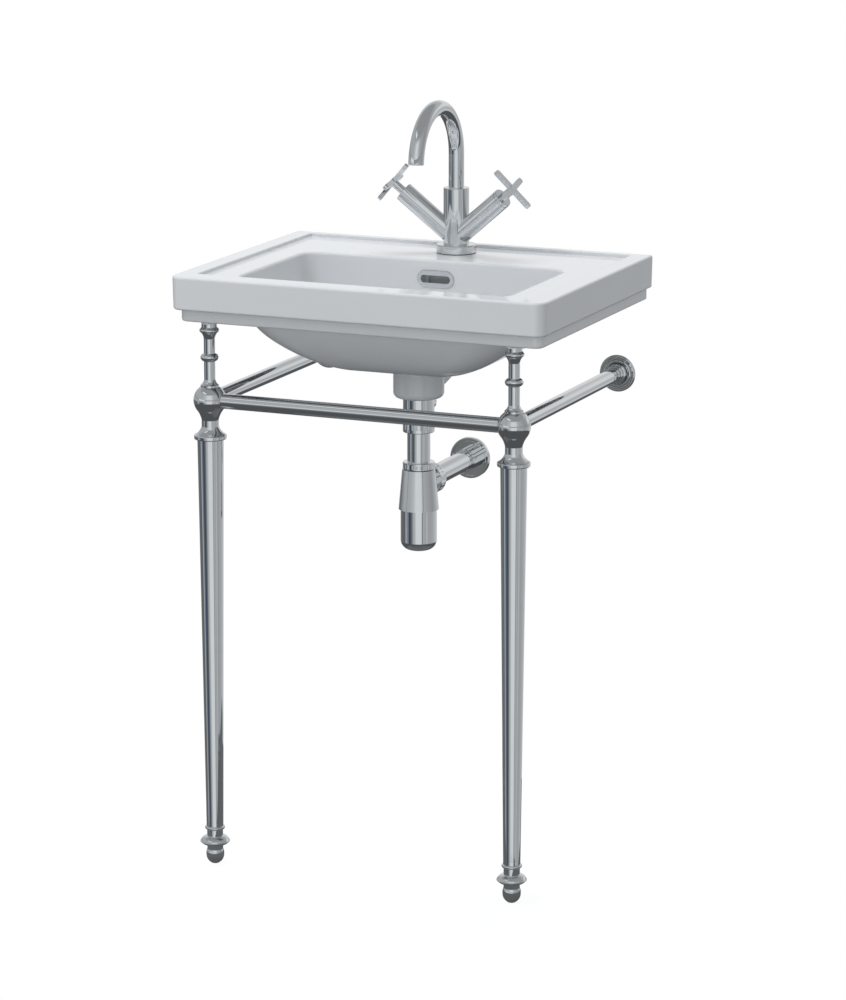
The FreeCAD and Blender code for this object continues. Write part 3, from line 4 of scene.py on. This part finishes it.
import bpy
import numpy as np
from mathutils import Euler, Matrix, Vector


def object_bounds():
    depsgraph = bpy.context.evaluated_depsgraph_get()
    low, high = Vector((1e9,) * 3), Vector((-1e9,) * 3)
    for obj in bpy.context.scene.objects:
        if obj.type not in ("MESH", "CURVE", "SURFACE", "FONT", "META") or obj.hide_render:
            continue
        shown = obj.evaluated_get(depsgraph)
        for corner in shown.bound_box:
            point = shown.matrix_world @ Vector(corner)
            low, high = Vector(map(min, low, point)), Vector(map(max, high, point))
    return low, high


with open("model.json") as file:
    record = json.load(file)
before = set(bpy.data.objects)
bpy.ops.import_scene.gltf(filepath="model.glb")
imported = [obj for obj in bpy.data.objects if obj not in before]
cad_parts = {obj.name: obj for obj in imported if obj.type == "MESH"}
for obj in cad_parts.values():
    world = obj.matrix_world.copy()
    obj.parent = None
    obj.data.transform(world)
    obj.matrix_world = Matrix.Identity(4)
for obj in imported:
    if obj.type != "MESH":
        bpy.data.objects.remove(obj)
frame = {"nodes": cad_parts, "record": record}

CAD_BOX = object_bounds()
MM = 0.001
# How far in from the wall the china's glaze ends, from all bare to all glazed.
BARE_DEPTH, GLAZE_DEPTH = 0.2 * MM, 0.4 * MM


def linear(hexcode):
    """An sRGB hex colour as linear red, green, blue and alpha."""
    channels = np.array([int(hexcode[i:i + 2], 16) for i in (1, 3, 5)]) / 255
    curved = np.where(channels <= 0.04045, channels / 12.92, ((channels + 0.055) / 1.055) ** 2.4)
    return (*curved.tolist(), 1.0)


def add(tree, kind, links=None, **settings):
    """Add a node: settings are its properties, or its inputs' values under the inputs' names, and links
    joins an input, by its name or number, to another node's output."""
    node = tree.nodes.new(kind)
    for name, value in settings.items():
        if name in node.bl_rna.properties:
            setattr(node, name, value)
        else:
            node.inputs[name.replace("_", " ")].default_value = value
    for name, output in (links or {}).items():
        tree.links.new(output, node.inputs[name])
    return node


def new_material(name):
    """An empty node material, with its tree and its output node."""
    material = bpy.data.materials.new(name)
    material.use_nodes = True
    tree = material.node_tree
    tree.nodes.clear()
    return material, tree, tree.nodes.new("ShaderNodeOutputMaterial")


def glazed_china():
    """Vitreous china, slip-cast and fired with a white glaze: a deep cool white under a clear glossy skin.
    The glaze pools unevenly over a hand's width, which bends long reflections a little, and it has a faint
    orange peel.  The back, which meets the wall, is bare of glaze: dull and a shade warmer."""
    material, tree, output = new_material("glazed_vitreous_china")
    place = add(tree, "ShaderNodeTexCoord").outputs["Object"]
    pool = add(tree, "ShaderNodeTexNoise", {"Vector": place}, Scale=1 / (90 * MM), Detail=1.0)
    peel = add(tree, "ShaderNodeTexNoise", {"Vector": place}, Scale=1 / (4 * MM), Detail=1.0)
    depth = add(tree, "ShaderNodeSeparateXYZ", {"Vector": place}).outputs["Y"]
    back = CAD_BOX[1][1]
    bare = add(
        tree, "ShaderNodeMapRange", {"Value": depth}, From_Min=back - GLAZE_DEPTH, From_Max=back - BARE_DEPTH,
    )
    glazed = add(
        tree, "ShaderNodeMix", {"Factor": pool.outputs["Fac"]}, data_type="RGBA",
        A=linear("#DEE0E3"), B=linear("#E3E5E7"),
    )
    unglazed = add(
        tree, "ShaderNodeMix", {"Factor": peel.outputs["Fac"]}, data_type="RGBA",
        A=linear("#E2DED6"), B=linear("#EBE8E1"),
    )
    tint = add(
        tree, "ShaderNodeMix",
        {
            "Factor": bare.outputs["Result"],
            "A": glazed.outputs["Result"],
            "B": unglazed.outputs["Result"],
        },
        data_type="RGBA",
    )
    gloss = add(tree, "ShaderNodeMapRange", {"Value": bare.outputs["Result"]}, To_Min=0.06, To_Max=0.6)
    wave = add(tree, "ShaderNodeBump", {"Height": pool.outputs["Fac"]}, Strength=0.05, Distance=3 * MM)
    skin = add(
        tree, "ShaderNodeBump", {"Height": peel.outputs["Fac"], "Normal": wave.outputs["Normal"]},
        Strength=0.02, Distance=0.2 * MM,
    )
    glaze = add(
        tree, "ShaderNodeBsdfPrincipled",
        {
            "Base Color": tint.outputs["Result"],
            "Roughness": gloss.outputs["Result"],
            "Normal": skin.outputs["Normal"],
        },
        IOR=1.52,
    )
    tree.links.new(glaze.outputs["BSDF"], output.inputs["Surface"])
    return material


def chrome(name, sweep_mm, roughness):
    """Bright chrome plate over polished brass: a cool mirror.  The polishing wheel leaves soft patches about
    sweep_mm wide, a shade brighter or duller than their surroundings, and waves too shallow to feel."""
    material, tree, output = new_material(name)
    place = add(tree, "ShaderNodeTexCoord").outputs["Object"]
    sweep = add(tree, "ShaderNodeTexNoise", {"Vector": place}, Scale=1 / (sweep_mm * MM), Detail=2.0)
    shade = add(
        tree, "ShaderNodeMix", {"Factor": sweep.outputs["Fac"]}, data_type="RGBA",
        A=linear("#D8DADC"), B=linear("#DEE0E1"),
    )
    soft = add(
        tree, "ShaderNodeMapRange", {"Value": sweep.outputs["Fac"]},
        To_Min=roughness * 0.5, To_Max=roughness * 1.4,
    )
    wave = add(tree, "ShaderNodeBump", {"Height": sweep.outputs["Fac"]}, Strength=0.03, Distance=0.1 * MM)
    plate = add(
        tree, "ShaderNodeBsdfPrincipled",
        {
            "Base Color": shade.outputs["Result"],
            "Roughness": soft.outputs["Result"],
            "Normal": wave.outputs["Normal"],
        },
        Metallic=1.0,
    )
    tree.links.new(plate.outputs["BSDF"], output.inputs["Surface"])
    return material


def stock(name, dark, light, grain_mm, roughness, metallic=0.0):
    """A matt or machined stock: two close shades in a fine grain, with the grain's own relief."""
    material, tree, output = new_material(name)
    place = add(tree, "ShaderNodeTexCoord").outputs["Object"]
    grain = add(tree, "ShaderNodeTexNoise", {"Vector": place}, Scale=1 / (grain_mm * MM), Detail=4.0)
    tint = add(
        tree, "ShaderNodeMix", {"Factor": grain.outputs["Fac"]}, data_type="RGBA",
        A=linear(dark), B=linear(light),
    )
    bump = add(tree, "ShaderNodeBump", {"Height": grain.outputs["Fac"]}, Strength=0.4, Distance=0.05 * MM)
    surface = add(
        tree, "ShaderNodeBsdfPrincipled",
        {"Base Color": tint.outputs["Result"], "Normal": bump.outputs["Normal"]},
        Roughness=roughness, Metallic=metallic,
    )
    tree.links.new(surface.outputs["BSDF"], output.inputs["Surface"])
    return material


def mirrored(tree, path):
    """1 for the rays that metal and glass send out, else 0."""
    return add(
        tree, "ShaderNodeMath", {0: path["Is Glossy Ray"], 1: path["Is Transmission Ray"]}, operation="MAXIMUM",
    ).outputs[0]


def pale_floor(colour, to_the_eye, in_metal):
    """A matt grey board that the eye sees as white: white is added to its lit colour, which brings it to
    plain white where the light reaches it, and far less is added as metal and glass see it."""
    material, tree, output = new_material("pale_floor")
    path = add(tree, "ShaderNodeLightPath").outputs
    metal = add(tree, "ShaderNodeMapRange", {"Value": mirrored(tree, path)}, To_Max=in_metal)
    eye = add(tree, "ShaderNodeMapRange", {"Value": path["Is Camera Ray"]}, To_Max=to_the_eye)
    lift = add(
        tree, "ShaderNodeMath", {0: metal.outputs["Result"], 1: eye.outputs["Result"]}, operation="MAXIMUM",
    )
    matt = add(tree, "ShaderNodeBsdfDiffuse", Color=linear(colour))
    glow = add(tree, "ShaderNodeEmission", {"Strength": lift.outputs[0]}, Color=linear("#FFFFFF"))
    board = add(tree, "ShaderNodeAddShader", {0: matt.outputs["BSDF"], 1: glow.outputs["Emission"]})
    tree.links.new(board.outputs["Shader"], output.inputs["Surface"])
    return material


china = glazed_china()
cast = chrome("polished_chrome_on_cast_brass", 25, 0.05)
spun = chrome("polished_chrome_on_turned_brass", 15, 0.04)
drawn = chrome("polished_chrome_on_drawn_tube", 40, 0.035)
FINISH = {
    "glazed_china": china,
    "chrome": spun,
    "rubber": stock("moulded_black_rubber", "#15161A", "#202226", 0.8, 0.75),
    "brass": stock("machined_brass", "#A88A4E", "#C0A264", 0.5, 0.35, metallic=1.0),
    "steel": stock("machined_stainless_steel", "#8F9295", "#B4B7BA", 0.5, 0.3, metallic=1.0),
    "plastic": stock("moulded_grey_acetal", "#C9CCCE", "#D6D8DA", 1.0, 0.5),
}
CAST = (
    "tap_body", "spout", "tap_base_ring", "left_handle", "right_handle", "left_bonnet", "right_bonnet",
)
DRAWN = ("front_rail", "left_side_rail", "right_side_rail", "trap_inlet_tube", "trap_outlet_pipe")
slots = {part["node"]: part["material_slot"] for part in frame["record"]["subparts"]}
for name, node in frame["nodes"].items():
    finish = cast if name in CAST else drawn if name in DRAWN else FINISH[slots[name]]
    node.data.materials.clear()
    node.data.materials.append(finish)


def flat_sheet(name, xs, ys, z):
    """A flat sheet at height z between two x and two y values."""
    corners = np.array([(xs[i], ys[j], z) for i, j in ((0, 0), (1, 0), (1, 1), (0, 1))])
    mesh = bpy.data.meshes.new(name)
    mesh.from_pydata(corners.tolist(), [], [(0, 1, 2, 3)])
    sheet = bpy.data.objects.new(name, mesh)
    bpy.context.collection.objects.link(sheet)
    return sheet


FLOOR_X, FLOOR_Y, FLOOR_Z = (-0.40, 0.40), (-0.32, 0.40), -0.5 * MM
FLOOR_COLOUR, WHITE_TO_THE_EYE, WHITE_IN_METAL = "#5E6062", 0.93, 0.07
floor = flat_sheet("floor", FLOOR_X, FLOOR_Y, FLOOR_Z)
floor.data.materials.append(pale_floor(FLOOR_COLOUR, WHITE_TO_THE_EYE, WHITE_IN_METAL))


def softbox(name, spot, aim, width, height, power):
    """A rectangular soft light at a spot, turned to face the point it aims at."""
    lamp = bpy.data.lights.new(name, "AREA")
    lamp.shape = "RECTANGLE"
    lamp.size = width
    lamp.size_y = height
    lamp.energy = power
    box = bpy.data.objects.new(name, lamp)
    bpy.context.collection.objects.link(box)
    box.location = spot
    heading = np.array(aim) - np.array(spot)
    tilt = math.atan2(math.hypot(heading[0], heading[1]), -heading[2])
    turn = math.atan2(heading[1], heading[0]) - math.pi / 2
    box.rotation_euler = Euler((tilt, 0, turn))
    return box


def on_dome(azimuth, height, distance, middle):
    """The spot at an azimuth and an elevation in degrees and a distance from the middle."""
    turn, rise = math.radians(azimuth), math.radians(height)
    level = distance * math.cos(rise)
    offset = (level * math.cos(turn), level * math.sin(turn), distance * math.sin(rise))
    return tuple(at + by for at, by in zip(middle, offset))


# Lamps in metres and watts, on domes round the middle of the object.  Metal and glaze don't mirror them: the
# bright strips of the room stand in for them there.
MIDDLE = (0, 0, 0.65)
for name, spot, width, height, power in (
    ("key_light", on_dome(-124, 51, 4, MIDDLE), 1.8, 0.6, 42),
    ("top_light", on_dome(113, 66, 3.4, MIDDLE), 2.4, 1.2, 52),
    ("fill_light", on_dome(-84, -4, 5, MIDDLE), 3, 2, 40),
):
    softbox(name, spot, MIDDLE, width, height, power).visible_glossy = False

# The room round the object, by azimuth in degrees.  WALLS: grey walls with a wide window in front.  FURNITURE:
# what stands along them below eye level, dark on the left with a gap and a dark blue screen.  LAMP: a long
# white strip at the front left.
WALLS = (
    (-180, "#BDC1C4"), (-120, "#C0C4C7"), (-96, "#D6DADC"), (-84, "#F0F4F5"), (-54, "#EEF2F3"), (-44, "#CDD0D2"),
    (-30, "#BEC0C2"), (20, "#A8AAAC"), (60, "#C6C8CA"), (120, "#D2D4D6"), (160, "#C0C2C4"), (180, "#BDC1C4"),
)
FURNITURE = (
    (-180, "#727476"), (-162, "#6E7072"), (-160, "#BCC1C5"), (-150, "#B8BDC1"), (-147, "#707A82"),
    (-137, "#76818F"), (-133, "#43536B"), (-124, "#465468"), (-121, "#5B6167"), (-108, "#8A8D8A"),
    (-104, "#BBBBBF"), (-90, "#CCD1D1"), (-84, "#F0F4F5"), (-50, "#F0F4F5"), (-46, "#A2A4A6"),
    (-41, "#A2A4A6"), (-38, "#CFD0D1"), (-26, "#B0B3B5"), (-16, "#CFD1D3"), (0, "#B4B6B8"), (28, "#BCBEC0"),
    (52, "#CDCFD1"), (66, "#DADCDE"), (110, "#DADCDE"), (150, "#777A7C"), (180, "#727476"),
)
CEILING = "#A6A9AB"
LAMP = (
    (-180, CEILING), (-150, CEILING), (-147, "#FFFFFF"), (-104, "#FFFFFF"), (-101, CEILING), (180, CEILING),
)
DARK_FLOOR = "#5D5F61"
# Elevations in degrees between which one layer of the room fades into the next.
FURNITURE_TOP = (-9, -6)
WALL_TOP = (36, 47)
FLOOR_EDGE = (-19, -21)
# The lower and the upper edge of each bright strip.
HIGH_STRIP = ((45, 46), (54, 53))
LOW_STRIP = ((1, 2), (8, 7))
# The white sweep behind the object as metal sees it: its lower and upper edge, how far toward +Y a direction
# points where it starts and where it is full, and its share of white.
SWEEP_EDGES = ((0, 4), (26, 18))
SWEEP_START, SWEEP_FULL, SWEEP_WHITE = 0.6, 0.75, 0.6
ROOM_STRENGTH = 0.92


def band(tree, height, low, high):
    """0 at one elevation in degrees and 1 at another, from the height of a direction."""
    ends = {"From_Min": math.sin(math.radians(low)), "From_Max": math.sin(math.radians(high))}
    return add(tree, "ShaderNodeMapRange", {"Value": height}, **ends).outputs["Result"]


def both(tree, one, other):
    """The share that two factors have in common."""
    return add(tree, "ShaderNodeMath", {0: one, 1: other}, operation="MULTIPLY").outputs[0]


def strip(tree, height, lower, upper):
    """1 between a lower and an upper edge, each a pair of elevations in degrees, else 0."""
    return both(tree, band(tree, height, *lower), band(tree, height, *upper))


def round_the_room(tree, share, stops):
    """Colours by azimuth, from their stops in degrees."""
    ramp = add(tree, "ShaderNodeValToRGB", {"Fac": share})
    elements = ramp.color_ramp.elements
    elements.remove(elements[1])
    for number, (degrees, colour) in enumerate(stops):
        place = (degrees + 180) / 360
        stop = elements.new(place) if number else elements[0]
        stop.position = place
        stop.color = linear(colour)
    return ramp.outputs["Color"]


def studio():
    """The room that lights the object: a dark floor, the furniture, the walls, a grey ceiling and two bright
    strips.  The eye sees it as plain white, and metal and glass see a low pale sweep behind the object."""
    world = bpy.data.worlds.new("studio")
    world.use_nodes = True
    tree = world.node_tree
    tree.nodes.clear()
    heading = add(tree, "ShaderNodeTexCoord").outputs["Generated"]
    axes = add(tree, "ShaderNodeSeparateXYZ", {"Vector": heading}).outputs
    height = axes["Z"]
    azimuth = add(tree, "ShaderNodeMath", {0: axes["Y"], 1: axes["X"]}, operation="ARCTAN2")
    turn = add(
        tree, "ShaderNodeMapRange", {"Value": azimuth.outputs[0]}, From_Min=-math.pi, From_Max=math.pi,
    )
    layers, walls, lamp = (
        round_the_room(tree, turn.outputs["Result"], stops) for stops in (FURNITURE, WALLS, LAMP)
    )
    for factor, layer in (
        (band(tree, height, *FURNITURE_TOP), walls),
        (band(tree, height, *WALL_TOP), linear(CEILING)),
        (strip(tree, height, *HIGH_STRIP), lamp),
        (strip(tree, height, *LOW_STRIP), lamp),
        (band(tree, height, *FLOOR_EDGE), linear(DARK_FLOOR)),
    ):
        mixed = add(tree, "ShaderNodeMix", {"Factor": factor, "A": layers}, data_type="RGBA")
        if isinstance(layer, bpy.types.NodeSocket):
            tree.links.new(layer, mixed.inputs["B"])
        else:
            mixed.inputs["B"].default_value = layer
        layers = mixed.outputs["Result"]
    lit = add(tree, "ShaderNodeBackground", {"Color": layers}, Strength=ROOM_STRENGTH)
    white = add(tree, "ShaderNodeBackground", Color=linear("#FFFFFF"), Strength=1.0)
    path = add(tree, "ShaderNodeLightPath").outputs
    sweep = add(
        tree, "ShaderNodeMapRange", {"Value": axes["Y"]},
        From_Min=SWEEP_START, From_Max=SWEEP_FULL, To_Max=SWEEP_WHITE,
    )
    sheet = both(tree, sweep.outputs["Result"], strip(tree, height, *SWEEP_EDGES))
    behind = both(tree, mirrored(tree, path), sheet)
    seen = add(tree, "ShaderNodeMath", {0: path["Is Camera Ray"], 1: behind}, operation="MAXIMUM")
    view = add(
        tree, "ShaderNodeMixShader",
        {"Fac": seen.outputs[0], 1: lit.outputs["Background"], 2: white.outputs["Background"]},
    )
    tree.links.new(view.outputs["Shader"], add(tree, "ShaderNodeOutputWorld").inputs["Surface"])
    return world


bpy.context.scene.world = studio()

# The camera that fits the photograph: its spot in metres, how far it looks down and how far it is turned in
# degrees, and its focal length in widths of the sensor.
CAMERA_SPOT = (2.25775, -5.2879, 1.83621)
LOOKS_DOWN, TURNED = 12.95, 22.99
SENSOR_MM, FOCAL_WIDTHS = 36, 4.12867
camera = bpy.data.objects.new("camera", bpy.data.cameras.new("camera"))
bpy.context.collection.objects.link(camera)
camera.location = CAMERA_SPOT
camera.rotation_euler = Euler((math.radians(90 - LOOKS_DOWN), 0, math.radians(TURNED)))
camera.data.sensor_width = SENSOR_MM
camera.data.lens = FOCAL_WIDTHS * SENSOR_MM
bpy.context.scene.camera = camera
bpy.context.scene.view_settings.view_transform = "Standard"
